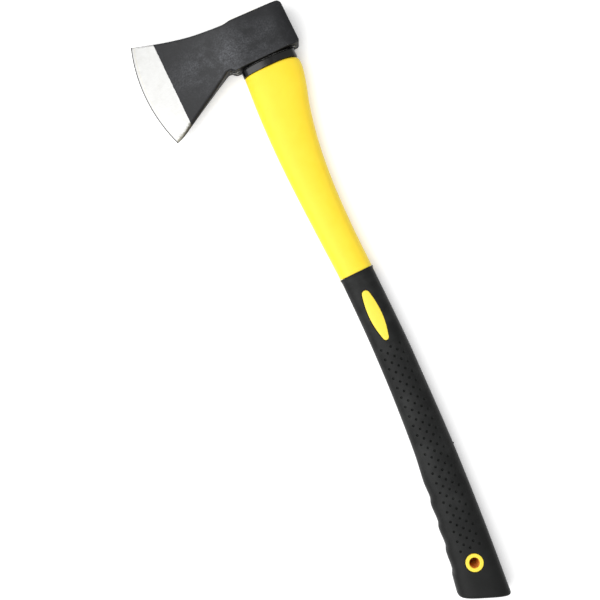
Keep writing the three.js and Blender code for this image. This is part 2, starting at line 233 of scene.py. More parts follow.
def columns(count):
    """Turns round a section, crowded at the parting line on both edges."""
    close = np.array([0.2, 0.45, 0.8]) / GIRTH
    even = np.linspace(0, 1, count + 1)
    extra = np.concatenate([close, 1 - close, BIT_EDGE + close, BIT_EDGE - close])
    clear = np.array([np.abs(even - e).min() > 0.1 / GIRTH for e in extra])
    return np.unique(np.concatenate([even, extra[clear]]))


# ---- the handle's skin ----


def scallop(y):
    """How far the bit side of the grip is hollowed for the fingers."""
    place = (np.asarray(y, float) - SCALLOPS["first"]) / SCALLOPS["pitch"]
    t = place % 1
    ridge = SCALLOPS["ridge"]
    slow = t / ridge / 2
    fast = 0.5 + (t - ridge) / (1 - ridge) / 2
    depth = SCALLOPS["depth"] * np.sin(np.pi * np.where(t < ridge, slow, fast)) ** 2
    return np.where((place > 0) & (place < SCALLOPS["count"]), depth, 0)


def section(y, hollowed):
    """Centre, reach to the bit and poll sides, half thickness, power and lean of a section."""
    lean = SLANT * smoothstep(y, BUTT_END - SLANT_RUN, BUTT_END)
    lean = lean - LIP_SLANT * np.exp(-(((y - GRIP_TOP) / LIP_SPREAD) ** 2))
    drop = lean * (smoothly(BIT_SIDE, y) - smoothly(POLL_SIDE, y)) / 2
    bit_edge = smoothly(BIT_SIDE, y - drop)
    poll_edge = smoothly(POLL_SIDE, y + drop)
    centre = (bit_edge + poll_edge) / 2
    hollow = scallop(y - drop) if hollowed else 0
    rise = np.minimum(smoothly(HALF_THICKNESS, y), MIDDLE)
    return centre, bit_edge - centre - hollow, centre - poll_edge, rise, smoothly(SECTION_POWER, y), lean


def skin(turn, y, inset=0.0, lift=0.0, hollowed=False, shift=0.0, scale=1.0):
    """Points of the handle's skin: inset all round, lifted along the normal, shifted and scaled."""
    turn, y, inset, lift = np.broadcast_arrays(turn, np.asarray(y, float), inset, lift)
    centre, bit_reach, poll_reach, rise, power, lean = section(y, hollowed)
    angle = np.interp(turn, TURNS, ANGLES)
    reach = np.where(np.cos(angle) >= 0, bit_reach, poll_reach) - inset
    rise = rise - inset
    across, up = superellipse(angle, reach, rise, power)
    out_across = np.sign(across) * (np.abs(across) / reach) ** (power - 1) / reach
    out_up = np.sign(up) * (np.abs(up) / rise) ** (power - 1) / rise
    size = np.hypot(out_across, out_up)
    across = (across + lift * out_across / size) * scale
    up = (up + lift * out_up / size) * scale
    return np.stack([centre + across, y + shift - lean * across, MIDDLE + up], axis=-1)


def locate(x, y, side, hollowed):
    """Turn and station of the skin over plan points, on the upper (1) or lower (-1) face."""
    x, y = np.asarray(x, float), np.asarray(y, float)
    station = y.copy()
    for _ in range(16):
        centre, bit_reach, poll_reach, _, power, lean = section(station, hollowed)
        across = x - centre
        station = y + lean * across
    reach = np.where(across >= 0, bit_reach, poll_reach)
    share = np.clip(np.abs(across) / reach, 0, 1) ** (power / 2)
    turn = np.interp(-np.arccos(np.sign(across) * share), -ANGLES, TURNS)
    return (turn if side > 0 else 1 - turn), station


def flat_map(turn, y):
    """The skin's turns and stations as a flat map that is about true to scale."""
    return np.stack([turn * GIRTH, y], axis=-1)


def pairings(across, along):
    """Every place across with every place along, as two flat arrays."""
    return [a.reshape(-1) for a in np.meshgrid(across, along)]


def parting_ridge(turn, height=0.13, width=0.32):
    """The thin raised line that the mould leaves along both edges."""
    away = np.minimum(np.minimum(turn, 1 - turn), np.abs(turn - BIT_EDGE)) * GIRTH
    return height * np.exp(-((away / width) ** 2))


def window_outline(margin):
    """Plan points round the window's pointed oval, grown by margin."""
    end = WINDOW["end"] + margin
    half = WINDOW["width"] / 2 + margin
    reach = WINDOW["length"] / 2 - WINDOW["end"]
    side = (reach**2 + half**2 - end**2) / (2 * (half - end))
    sweep = math.asin(reach / (side - end))
    arcs = [
        (half - side, 0, side, -sweep, sweep, 44),
        (0, reach, end, sweep, math.pi - sweep, 12),
        (side - half, 0, side, math.pi - sweep, math.pi + sweep, 44),
        (0, -reach, end, math.pi + sweep, 2 * math.pi - sweep, 12),
    ]
    points = []
    for cx, cy, radius, start, stop, count in arcs:
        at = np.linspace(start, stop, count, endpoint=False)
        points.append(around(cx, cy, radius, at))
    x, y = np.concatenate(points).T
    x = x * (1 - WINDOW["taper"] * np.clip(y / reach, 0, 1) ** 2)
    c, s = math.cos(WINDOW["turn"]), math.sin(WINDOW["turn"])
    return np.stack([WINDOW["x"] + c * x - s * y, WINDOW["y"] + s * x + c * y], axis=-1)


def window_inside(scale):
    """The window's outline shrunk towards its middle."""
    middle = np.array([WINDOW["x"], WINDOW["y"]])
    return middle + (window_outline(-1.2)[::2] - middle) * scale


def circle(x, y, radius, count):
    return around(x, y, radius, np.linspace(0, 2 * math.pi, count, endpoint=False))


def ring_outline(radius):
    return circle(RING["x"], RING["y"], radius, 56)


def inside(points, polygon):
    """Which of the flat points lie in the polygon."""
    x, y = points[:, 0:1], points[:, 1:2]
    ax, ay = polygon[:, 0], polygon[:, 1]
    bx, by = np.roll(ax, -1), np.roll(ay, -1)
    crosses = (ay > y) != (by > y)
    with np.errstate(divide="ignore", invalid="ignore"):
        at = ax + (y - ay) * (bx - ax) / (by - ay)
    return (crosses & (x < at)).sum(axis=1) % 2 == 1


# ---- meshes ----


class Quilt:
    """A skin cut and stitched on a flat map: loose points, closed rings kept as edges, and holes."""

    def __init__(self):
        self.flat = []
        self.solid = []
        self.rings = []
        self.paths = []
        self.holes = []
        self.count = 0

    def add(self, flat, solid):
        first = self.count
        self.flat.append(flat)
        self.solid.append(solid)
        self.count += len(flat)
        return list(range(first, self.count))

    def ring(self, flat, solid):
        self.rings.append(self.add(flat, solid))
        return self.rings[-1]

    def path(self, flat, solid):
        self.paths.append(self.add(flat, solid))

    def hole(self, flat):
        self.holes.append(flat)

    def stitched(self):
        """The solid points and the triangles between them, holes left open."""
        flat, solid = np.concatenate(self.flat), np.concatenate(self.solid)
        edges = [e for ring in self.rings for e in zip(ring, ring[1:] + ring[:1])]
        edges += [e for path in self.paths for e in zip(path, path[1:])]
        corners = [Vector(p) for p in flat.tolist()]
        found, _, faces, origins, _, _ = delaunay_2d_cdt(corners, edges, [], 0, 1e-6)
        if len(found) != len(flat) or not all(origins):
            raise ValueError("rings of the quilt cross each other")
        number = np.array([o[0] for o in origins])
        faces = number[np.array(faces)]
        middles = flat[faces].mean(axis=1)
        keep = np.ones(len(faces), bool)
        for hole in self.holes:
            keep &= ~inside(middles, hole)
        faces = faces[keep]
        a, b, c = flat[faces[:, 0]], flat[faces[:, 1]], flat[faces[:, 2]]
        area = (b[:, 0] - a[:, 0]) * (c[:, 1] - a[:, 1]) - (b[:, 1] - a[:, 1]) * (c[:, 0] - a[:, 0])
        faces = faces[np.abs(area) > 1e-9]
        turned = area[np.abs(area) > 1e-9] < 0
        faces[turned] = faces[turned][:, ::-1]
        return solid, faces


def strip(loops, first_cap=False, last_cap=False):
    """Points and faces of a stack of equal closed loops, with a fan over either end if asked."""
    count = len(loops[0])
    last = (len(loops) - 1) * count
    points = [np.asarray(loop, float) for loop in loops]
    faces = []
    for start in range(0, last, count):
        for j in range(count):
            k = (j + 1) % count
            faces.append((start + j, start + k, start + count + k, start + count + j))
    middle = last + count
    if first_cap:
        points.append(points[0].mean(axis=0)[None])
        faces += [(middle, (j + 1) % count, j) for j in range(count)]
        middle += 1
    if last_cap:
        points.append(points[len(loops) - 1].mean(axis=0)[None])
        faces += [(middle, last + j, last + (j + 1) % count) for j in range(count)]
    return np.concatenate(points), faces


def mesh_object(name, patches, sharp=35):
    """One closed object in the frame from (points, faces) patches whose borders meet."""
    points, faces, first = [], [], 0
    for patch_points, patch_faces in patches:
        points.append(to_frame(patch_points))
        faces += [tuple(int(v) + first for v in face) for face in patch_faces]
        first += len(patch_points)
    mesh = bpy.data.meshes.new(name)
    mesh.from_pydata(np.concatenate(points).tolist(), [], faces)
    made = bmesh.new()
    made.from_mesh(mesh)
    bmesh.ops.remove_doubles(made, verts=made.verts, dist=MERGE * MM)
    bmesh.ops.dissolve_degenerate(made, edges=made.edges, dist=SLIVER * MM)
    bmesh.ops.recalc_face_normals(made, faces=made.faces)
    made.to_mesh(mesh)
    made.free()
    mesh.shade_smooth()
    mesh.set_sharp_from_angle(angle=math.radians(sharp))
    piece = bpy.data.objects.new(name, mesh)
    bpy.context.scene.collection.objects.link(piece)
    return piece


def as_piece(piece, node):
    """Rides the piece on the one body, in place of its CAD node."""
    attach(piece, "root")
    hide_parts(node)
    return piece


def oval_loop(spec, y, grow=0.0, count=96, scale=1.0, angle=None):
    """A superelliptic loop across the handle, at a station and at even angles unless some are given."""
    if angle is None:
        angle = np.linspace(math.pi, -math.pi, count, endpoint=False)
    reach = (spec["length"] / 2) * scale + grow
    rise = (spec["width"] / 2) * scale + grow
    across, up = superellipse(angle, reach, rise, spec["power"])
    return np.stack([spec["x"] + across, np.broadcast_to(y, across.shape), MIDDLE + up], axis=-1)


def sloped(loop):
    """The loop laid along the slope of the eye's mouth."""
    loop = np.array(loop, float)
    loop[..., 1] += MOUTH_SLOPE * loop[..., 0]
    return loop


# ---- the head ----


def head_outline():
    """Plan points round the head, about a millimetre apart, from the poll's lower corner."""
    corner, mouth_start, mouth_end = sloped([
        (POLL_BOTTOM, HEAD_BOTTOM), (POLL_BOTTOM + BOTTOM_CORNER, HEAD_BOTTOM), (BOTTOM_END, HEAD_BOTTOM)
    ])
    start = corner - (0, BOTTOM_CORNER)
    poll_end = (POLL_TOP, HEAD_TOP + TOP_CORNER)
    top_start = (POLL_TOP + TOP_CORNER, HEAD_TOP)
    bend = (TOP_END + STEP_END) / 2
    step = HEAD_TOP + STEP_DEPTH
    turn = lambda y: math.asin((y - EDGE_CENTRE[1]) / EDGE_RADIUS)
    edge = around(*EDGE_CENTRE, EDGE_RADIUS, np.linspace(turn(TOE), turn(HEEL), 150))
    blade_x = stations(STEP_END, edge[0, 0], 1)[:-1]
    blade = smoothly([(STEP_END, step), *BLADE_TOP, (edge[0, 0], TOE)], blade_x)
    beard_x = stations(edge[-1, 0], BEARD_END[0], 1)[1:-1]
    beard = smoothly([BEARD_END, *BEARD, (edge[-1, 0], HEEL)], beard_x)
    chin_bend = ((CHIN_START[0] + BOTTOM_END) / 2, mouth_end[1])
    return np.concatenate([
        bezier([start, poll_end], 42),
        bezier([poll_end, (POLL_TOP, HEAD_TOP), top_start], 12),
        bezier([top_start, (TOP_END, HEAD_TOP)], 50),
        bezier([(TOP_END, HEAD_TOP), (bend, HEAD_TOP), (bend, step), (STEP_END, step)], 13),
        np.stack([blade_x, blade], axis=-1),
        edge,
        np.stack([beard_x, beard], axis=-1),
        bezier([BEARD_END, NOTCH, CHIN_START], 8),
        bezier([CHIN_START, chin_bend, mouth_end], 8),
        bezier([mouth_end, mouth_start], 66),
        bezier([mouth_start, corner, start], 8),
    ])


def past_mask(x, y):
    """How far plan points lie past the line where the paint ends, towards the cutting edge."""
    (ax, ay), (bx, by) = MASK
    length = math.hypot(bx - ax, by - ay)
    return ((np.asarray(x) - ax) * (by - ay) - (np.asarray(y) - ay) * (bx - ax)) / length


def back_from_edge(x, y):
    return EDGE_RADIUS - np.hypot(np.asarray(x) - EDGE_CENTRE[0], np.asarray(y) - EDGE_CENTRE[1])


def half_thickness(x, y):
    """Half the thickness of the head over plan points: cheeks, ground face and micro bevel."""
    cheek = np.minimum(smoothly(CHEEK, x), MIDDLE)
    at_mask = float(smoothly(CHEEK, (MASK[0][0] + MASK[1][0]) / 2))
    back = back_from_edge(x, y)
    past = np.maximum(past_mask(x, y), 0)
    share = np.clip((back - MICRO_BEVEL) / np.maximum(back - MICRO_BEVEL + past, 1e-6), 0, 1)
    ground = MICRO_HALF + (at_mask - MICRO_HALF) * share
    bevel = EDGE_HALF + (MICRO_HALF - EDGE_HALF) * np.clip(back / MICRO_BEVEL, 0, 1)
    return np.minimum(np.where(past > 0, ground, cheek), np.where(back < MICRO_BEVEL, bevel, MIDDLE))


def edge_rounding(outline):
    """Plan width and drop of the rounding along the outline: broad under the beard."""
    x, y = outline.T
    half = half_thickness(x, y)
    under = smoothstep(y, HEAD_BOTTOM - 3.2, HEAD_BOTTOM - 1.2) * smoothstep(x, 36, 45)
    back = np.maximum(back_from_edge(x, y), 0)
    fade = np.clip(back / 3, 0.05, 1)
    width = (ROUNDING + BEARD_ROUNDING[0] * under) * np.clip(half / 4.6, 0.02, 1) * fade
    drop = np.minimum((ROUNDING + BEARD_ROUNDING[1] * under) * fade, 0.86 * half)
    return width, drop


def inward(outline):
    """Mitred unit offsets into a closed outline whose points run either way round."""
    before, after = np.roll(outline, 1, axis=0), np.roll(outline, -1, axis=0)
    first = outline - before
    second = after - outline
    first /= np.linalg.norm(first, axis=1)[:, None]
    second /= np.linalg.norm(second, axis=1)[:, None]
    x, y = outline.T
    area = (x * np.roll(y, -1) - np.roll(x, -1) * y).sum()
    side = 1 if area > 0 else -1
    normals = side * (np.stack([-first[:, 1], first[:, 0]], -1) + np.stack([-second[:, 1], second[:, 0]], -1))
    return 2 * normals / (normals**2).sum(axis=1)[:, None]


def head_face(outline, side):
    """One cheek of the head, from its rounded border in. Also its border loop."""
    width, drop = edge_rounding(outline)
    offsets = inward(outline)
    quilt = Quilt()
    half_here = half_thickness(*outline.T)
    border = None
    for share in np.linspace(0, 1, 7):
        angle = share * math.pi / 2
        flat = outline + offsets * (width * (1 - math.cos(angle)))[:, None]
        blend = np.clip(share * 2, 0, 1)
        half = half_thickness(*flat.T) * blend + half_here * (1 - blend)
        up = MIDDLE + side * (half - drop * (1 - math.sin(angle)))
        solid = np.concatenate([flat, up[:, None]], axis=1)
        quilt.ring(flat, solid)
        if border is None:
            border = solid

    def place(flat):
        up = MIDDLE + side * half_thickness(*flat.T)
        return np.concatenate([flat, up[:, None]], axis=1)

    room = outline + offsets * (width + 0.7)[:, None]
    for back in (MICRO_BEVEL - 0.12, MICRO_BEVEL + 0.12):
        arc = around(*EDGE_CENTRE, EDGE_RADIUS - back, np.linspace(*BEVEL_LINE, 150))
        arc = arc[inside(arc, room)]
        quilt.path(arc, place(arc))
    (ax, ay), (bx, by) = MASK
    slope = (bx - ax) / (by - ay)
    mask_y = stations(TOE, HEEL, 1)
    for step in (-0.15, 0.15):
        line = np.stack([ax + slope * (mask_y - ay) + step, mask_y], axis=-1)
        line = line[inside(line, room)]
        quilt.path(line, place(line))
    coarse = np.stack(pairings(stations(-38, 100, 2.4), stations(-80, 34, 2.4)), axis=-1)
    fine = np.stack(pairings(stations(101, 139, 1.4), stations(-80, 34, 2)), axis=-1)
    grid = np.concatenate([coarse, fine])
    grid = grid[inside(grid, room)]
    clear = (np.abs(past_mask(*grid.T)) > 0.6) & (np.abs(back_from_edge(*grid.T) - MICRO_BEVEL) > 0.6)
    quilt.add(grid[clear], place(grid[clear]))
    points, faces = quilt.stitched()
    middles = points[faces][:, :, :2].mean(axis=1)
    faces = faces[inside(middles, outline)]
    return (points, faces), border


def eye_cutter():
    """A bar through the eye, with a rounded lead-in at both ends."""
    ends = [(-2.0, 3.0), (-0.3, 1.0), (0.1, 0.5), (0.5, 0.18), (1.1, 0.0)]
    loops = [oval_loop(EYE, HEAD_TOP + depth, grow, 96, EYE["flare"]) for depth, grow in ends]
    loops += [sloped(oval_loop(EYE, HEAD_BOTTOM - depth, grow)) for depth, grow in reversed(ends)]
    return mesh_object("eye_cutter", [strip(loops, first_cap=True, last_cap=True)])


def axe_head():
    outline = head_outline()
    upper, upper_border = head_face(outline, 1)
    lower, lower_border = head_face(outline, -1)
    shares = np.linspace(0, 1, 7)
    wall = strip([upper_border * (1 - s) + lower_border * s for s in shares])
    head = mesh_object("head", [upper, lower, wall])
    cutter = eye_cutter()
    cut = head.modifiers.new("eye", "BOOLEAN")
    cut.operation = "DIFFERENCE"
    cut.solver = "EXACT"
    cut.object = cutter
    bpy.context.view_layer.update()
    graph = bpy.context.evaluated_depsgraph_get()
    mesh = bpy.data.meshes.new_from_object(head.evaluated_get(graph), depsgraph=graph)
    head.modifiers.clear()
    head.data = mesh
    bpy.data.objects.remove(cutter)
    mesh.shade_smooth()
    mesh.set_sharp_from_angle(angle=math.radians(28))
    return as_piece(head, "axe_head")


# ---- the pieces round the eye ----


def sag(angle):
    """How far the seam between collar and jacket dips towards the butt, round the handle."""
    return np.where(np.cos(angle) < 0, SAG_POLL, SAG_BIT) * np.abs(np.cos(angle)) ** 3


def eye_collar():
    """A glossy gasket with rounded edges, slightly waisted."""
    top, bottom = HEAD_BOTTOM + 1.4, JACKET_TOP - GAP
    profile = [(0.0, -1.0), (0.0, -0.5), (0.02, -0.15), (0.06, 0.0), (0.14, 0.05), (0.48, -0.12)]
    profile += [(0.86, 0.05), (0.94, 0.0), (0.98, -0.15), (1.0, -0.5), (1.0, -1.0)]
    dip = sag(np.linspace(math.pi, -math.pi, 128, endpoint=False))
    loops = []
    for share, grow in profile:
        y = top + (bottom - top) * share + dip * share**2
        loops.append(sloped(oval_loop(COLLAR, y, grow, 128)))
    inner = [sloped(oval_loop(TONGUE, y, GAP, 128)) for y in (bottom, top)]
    return as_piece(
        mesh_object("collar", [strip([*loops, *inner, loops[0]])]), "eye_collar"
    )


def lump(x, y, z, size, phase):
    """An irregular squeezed-out drop."""
    angle = np.linspace(math.pi, -math.pi, 20, endpoint=False)
    loops = []
    for tilt in np.linspace(-1.45, 1.45, 9):
        wave = 1 + 0.22 * np.sin(3 * angle + phase + 2 * tilt) + 0.15 * np.sin(5 * angle + 2 * phase)
        radius = size * math.cos(tilt) * wave
        across = x + 1.25 * radius * np.cos(angle)
        along = y + 0.6 * radius * np.sin(angle)
        loops.append(np.stack([across, along, z + size * math.sin(tilt) * wave], axis=-1))
    return strip(loops, first_cap=True, last_cap=True)


def resin():
    """The cured resin: a meniscus at the top of the eye, the bead under the head and some drops."""
    count = 128
    angle = np.linspace(math.pi, -math.pi, count, endpoint=False)
    ripple = 0.25 * np.sin(5 * angle + 1) + 0.2 * np.sin(11 * angle + 2) + 0.12 * np.sin(23 * angle)
    bore = [oval_loop(EYE, y, -GAP, count, EYE["flare"]) for y in (
        HEAD_TOP + RESIN_RECESS - 0.6, HEAD_TOP + 6
    )]
    bore.append(sloped(oval_loop(EYE, HEAD_BOTTOM + 0.1, -GAP, count)))
    bulge = []
    for turn in np.linspace(-math.pi / 2, math.pi / 2, 7):
        grow = (-1.2 + 1.2 * math.cos(turn)) + ripple * math.cos(turn) * 0.6
        across, up = superellipse(
            angle, BEAD["length"] / 2 + grow, BEAD["width"] / 2 + grow * 0.45, BEAD["power"]
        )
        thick = 0.45 + 0.16 * np.clip(ripple, 0, 4)
        y = HEAD_BOTTOM + GAP + 0.4 + thick * math.sin(turn)
        bulge.append(sloped(np.stack([BEAD["x"] + across, y, MIDDLE + up], axis=-1)))
    inner = [sloped(oval_loop(TONGUE, HEAD_BOTTOM + 1.1, GAP, count))]
    inner += [oval_loop(TONGUE, y, GAP, count) for y in (HEAD_TOP + 6, HEAD_TOP + RESIN_RECESS - 0.8)]
    between = [
        bore[0] * (1 - s) + inner[-1] * s + [0, 1.1 * math.sin(math.pi * s), 0] for s in (0.2, 0.5, 0.8)
    ]
    loops = [*bore, *bulge, *inner, *reversed(between), bore[0]]
    lumps = [lump(*drop, phase=7.0 * i) for i, drop in enumerate(DROPS)]
    return as_piece(mesh_object("resin", [strip(loops), *lumps]), "epoxy_fill")


def core_rod():
    """The straight bar of glass fibre, with slightly broken edges at its sawn end."""
    top = HEAD_TOP + TONGUE["recess"]
    loops = []
    for y, grow in ((top, -0.7), (top + 0.25, -0.2), (top + 0.8, 0), (CORE["end"], 0)):
        share = (y - top) / (CORE["end"] - top)
        x = CORE["x"] + (CORE["butt_x"] - CORE["x"]) * share
        loops.append(oval_loop({**CORE, "x": x}, y, grow, 72))
    bar = strip(loops, first_cap=True, last_cap=True)
    return as_piece(mesh_object("core", [bar]), "core_rod")


# ---- the jacket and the grip ----


def skin_loop(turns, y, **how):
    """A closed loop of the skin at a station, without the seam's second point."""
    return skin(turns[:-1], y, **how)


def land_rings(quilt, side, base_inset):
    """The window and the ring standing up through the rubber, on one face of the jacket."""
    window = [
        (0.03, base_inset), (0.0, 0.7), (-0.1, 0.2), (-0.3, -0.05), (-0.6, -0.16), (-1.1, -LAND_PROUD),
    ]
    outer, hole = RING["outer"], RING["hole"]
    groove = (outer + hole) / 2
    rings = [(outer + margin, inset) for margin, inset in window]
    rings += [
        (groove + 0.5, -LAND_PROUD), (groove + 0.25, -0.13), (groove, -0.06), (groove - 0.25, -0.13),
        (groove - 0.5, -LAND_PROUD), (hole + 0.9, -LAND_PROUD), (hole + 0.5, -0.08), (hole + 0.2, 0.16),
        (hole, 0.6),
    ]

    def lay(plan, inset):
        turn, y = locate(plan[:, 0], plan[:, 1], side, False)
        return flat_map(turn, y), skin(turn, y, inset=inset)

    for margin, inset in window:
        quilt.ring(*lay(window_outline(margin), inset))
    for scale in (0.78, 0.56, 0.34, 0.12):
        quilt.add(*lay(window_inside(scale), -LAND_PROUD))
    for radius, inset in rings:
        flat, solid = lay(ring_outline(radius), inset)
        quilt.ring(flat, solid)
    quilt.hole(flat)
    return solid


def near_feature(turn, y, margin, hollowed):
    """Which points of the skin's map lie on the window or ring grown by margin, on either face."""
    plan = skin(turn, y, hollowed=hollowed)[:, :2]
    crown = (np.abs(turn - CROWN) < 0.16) | (np.abs(turn - 0.75) < 0.16)
    return crown & (inside(plan, window_outline(margin)) | inside(plan, ring_outline(RING["outer"] + margin)))


def end_loops(turns, end, inset, hollowed):
    """Loops that round the slanted end over and close it."""
    loops = []
    for angle in np.linspace(0, math.pi / 2, 7)[1:]:
        y = end - BUTT_ROUND * (1 - math.sin(angle))
        loops.append(
            skin_loop(turns, y, inset=inset + BUTT_ROUND * (1 - math.cos(angle)), hollowed=hollowed)
        )
    for scale in (0.93, 0.8, 0.6, 0.35, 0.12):
        loops.append(skin_loop(turns, end, inset=inset + BUTT_ROUND, hollowed=hollowed, scale=scale))
    return loops


def tongue_loops(turns):
    """The jacket's tongue in the eye, from the core's end out to the jacket's shoulder."""
    angle = np.interp(turns[:-1], TURNS, ANGLES)
    top = HEAD_TOP + TONGUE["recess"]

    def loop(spec, y, grow):
        return oval_loop(spec, y, grow, angle=angle)

    butt = {**CORE, "x": CORE["butt_x"]}
    end = CORE["end"] + GAP
    bore = [loop({**butt, "length": 2, "width": 1}, end, 0), loop(butt, end, GAP), loop(CORE, top, GAP)]
    outer = [loop(TONGUE, top, -0.5), loop(TONGUE, top + 0.15, -0.15), loop(TONGUE, top + 0.5, 0)]
    return bore + outer + [sloped(loop(TONGUE, JACKET_TOP, 0))]


def shoulder_loops(turns):
    """The rounded top edge of the jacket, then the run into the shaft."""
    turn = turns[:-1]
    angles = np.interp(turn, TURNS, ANGLES)
    dip = sag(angles)
    towards_poll = ((1 - np.cos(angles)) / 2) ** 1.5
    radius = SHOULDER_BIT + (SHOULDER_POLL - SHOULDER_BIT) * towards_poll
    loops = []
    for angle in np.linspace(0, math.pi / 2, 10):
        inset = radius * (1 - math.sin(angle))
        loops.append(sloped(skin(turn, JACKET_TOP, inset=inset, shift=radius * (1 - math.cos(angle)) + dip)))
    for share in (0.25, 0.5, 0.75):
        y = (JACKET_TOP + radius + dip) * (1 - share) + SHAFT_START * share
        loop = skin(turn, y)
        loops.append(loop * share + sloped(loop) * (1 - share))
    return loops


def handle_jacket():
    turns = columns(112)
    shaft = [
        skin_loop(turns, y, lift=parting_ridge(turns[:-1]) * smoothstep(y, SHAFT_START, 40))
        for y in stations(SHAFT_START, GRIP_TOP - GAP, 2.2)
    ]
    under = RUBBER + GAP
    step = [skin_loop(turns, GRIP_TOP - GAP, inset=under)]
    head_end = strip(tongue_loops(turns) + shoulder_loops(turns) + shaft + step, first_cap=True)

    quilt = Quilt()
    end = BUTT_END - BUTT_RUBBER - GAP
    rows = stations(GRIP_TOP - GAP, end - BUTT_ROUND, 5)
    turn, y = pairings(turns, rows)
    clear = ~near_feature(turn, y, 1.2, False)
    turn, y = turn[clear], y[clear]
    quilt.add(flat_map(turn, y), skin(turn, y, inset=under))
    upper = land_rings(quilt, 1, under)
    lower = land_rings(quilt, -1, under)
    bore = strip([upper * (1 - s) + lower * s for s in np.linspace(0, 1, 13)])
    first = skin_loop(turns, end - BUTT_ROUND, inset=under)
    butt = strip([first, *end_loops(turns, end, under, False)], last_cap=True)
    return as_piece(
        mesh_object("jacket", [head_end, quilt.stitched(), bore, butt]),
        "handle_jacket",
    )


def grip_inset(y):
    """The grip's outside: a raised lip with a rounded edge at its top."""
    t = np.clip((np.asarray(y, float) - GRIP_TOP) / LIP_LENGTH, 0, 1)
    edge = np.clip(1 - (np.asarray(y, float) - GRIP_TOP) / 0.6, 0, 1)
    return -LIP_HEIGHT * (1 - t) ** 2 + 0.6 * (1 - np.sqrt(np.clip(1 - edge**2, 0, 1)))


def dimple_places():
    """Plan points of the grip's dimples: five staggered columns that follow the handle."""
    places = []
    for i, y in enumerate(np.linspace(DIMPLES["first"], DIMPLES["last"], DIMPLES["rows"])):
        for j in range(-2, 3):
            if (i + j) % 2 == 0:
                places.append((float(smoothly(DIMPLE_LINE, y)) + j * DIMPLES["column"], y))
    places = np.array(places)
    from_ring = np.hypot(places[:, 0] - RING["x"], places[:, 1] - RING["y"])
    clear = (from_ring > RING["outer"] + 3.5) & ~inside(places, window_outline(3.5))
    return places[clear]


def grip_opening(quilt, side, outline, edge):
    """A rounded opening in the rubber. Also its lowest loop."""
    for margin, inset in ((1.3, 0.0), (0.95, 0.01), (0.7, 0.06), (0.52, 0.18), (0.42, 0.4), (0.4, 0.8)):
        plan = outline(edge + margin)
        turn, y = locate(plan[:, 0], plan[:, 1], side, True)
        flat = flat_map(turn, y)
        solid = skin(turn, y, inset=inset, hollowed=True)
        quilt.ring(flat, solid)
    quilt.hole(flat)
    return flat, solid, turn, y


def grip_sleeve():
    turns = columns(104)
    outer, inner = Quilt(), Quilt()
    walls = []
    for side in (1, -1):
        for outline, edge in ((window_outline, 0.0), (ring_outline, RING["outer"])):
            flat, solid, turn, y = grip_opening(outer, side, outline, edge)
            below = skin(turn, y, inset=RUBBER)
            inner.ring(flat, below)
            inner.hole(flat)
            walls.append(strip([solid, below]))

    dimples = dimple_places()
    profile = ((1.3, 0.0), (1.12, 0.03), (0.98, 0.16), (0.84, 0.5), (0.62, 0.8), (0.32, 0.96))
    for side in (1, -1):
        for share, depth in profile:
            plan = dimples[:, None] + circle(0, 0, share * DIMPLES["radius"], 12)
            turn, station = locate(plan[..., 0], plan[..., 1], side, True)
            flat = flat_map(turn, station)
            solid = skin(turn, station, lift=-depth * DIMPLES["depth"], hollowed=True)
            for one_flat, one_solid in zip(flat, solid):
                outer.ring(one_flat, one_solid)
        turn, station = locate(dimples[:, 0], dimples[:, 1], side, True)
        outer.add(flat_map(turn, station), skin(turn, station, lift=-DIMPLES["depth"], hollowed=True))

    last = BUTT_END - BUTT_ROUND
    lip_rows = GRIP_TOP + np.array([0, 0.03, 0.12, 0.28, 0.45, 0.6, 1.0, 1.8, 3.0, 4.5, 6.0])
    rows = np.unique(np.round(np.concatenate(
        [lip_rows, stations(GRIP_TOP + 7.5, last, 1.7), stations(NUB - 2, NUB + 2, 0.5)]
    ), 3))
    rows = rows[np.concatenate([[True], np.diff(rows) > 0.02])]
    rows[-1] = last
    turn, y = pairings(turns, rows)
    plan = skin(turn, y, hollowed=True)[:, :2]
    clear = ~near_feature(turn, y, 1.8, True)
    crown = (turn > 0.06) & (turn < 0.94) & (np.abs(turn - BIT_EDGE) > 0.04)
    for x, station in dimples:
        clear &= ~(crown & (np.hypot(plan[:, 0] - x, plan[:, 1] - station) < DIMPLE_ROOM))
    turn, y = turn[clear], y[clear]
    from_seam = np.minimum(turn, 1 - turn) * GIRTH
    flash = 1.1 * np.exp(-(((y - NUB) / 0.9) ** 2) - (from_seam / 0.9) ** 2)
    ridge = parting_ridge(turn) * smoothstep(y, GRIP_TOP + 1, GRIP_TOP + 8)
    outer.add(
        flat_map(turn, y),
        skin(turn, y, inset=grip_inset(y), lift=ridge + flash, hollowed=True),
    )
    inner_end = BUTT_END - BUTT_RUBBER
    inner_rows = stations(GRIP_TOP, inner_end - BUTT_ROUND, 8)
    turn, y = pairings(turns, inner_rows)
    keep = ~near_feature(turn, y, 1.2, False)
    turn, y = turn[keep], y[keep]
    inner.add(flat_map(turn, y), skin(turn, y, inset=RUBBER))

    ridge_end = parting_ridge(turns[:-1])
    first_outer = skin_loop(turns, last, lift=ridge_end, hollowed=True)
    butt = strip([first_outer, *end_loops(turns, BUTT_END, 0.0, True)], last_cap=True)
    first_inner = skin_loop(turns, inner_end - BUTT_ROUND, inset=RUBBER)
    inner_butt = strip([first_inner, *end_loops(turns, inner_end, RUBBER, False)], last_cap=True)
    mouth = strip([
        skin_loop(turns, GRIP_TOP, inset=float(grip_inset(GRIP_TOP)), hollowed=True),
        skin_loop(turns, GRIP_TOP, inset=RUBBER),
    ])
    patches = [outer.stitched(), inner.stitched(), *walls, butt, inner_butt, mouth]
    return as_piece(mesh_object("grip", patches), "grip_sleeve")


head = axe_head()
collar = eye_collar()
bead = resin()
core = core_rod()
jacket = handle_jacket()
grip = grip_sleeve()

# ---- materials ----


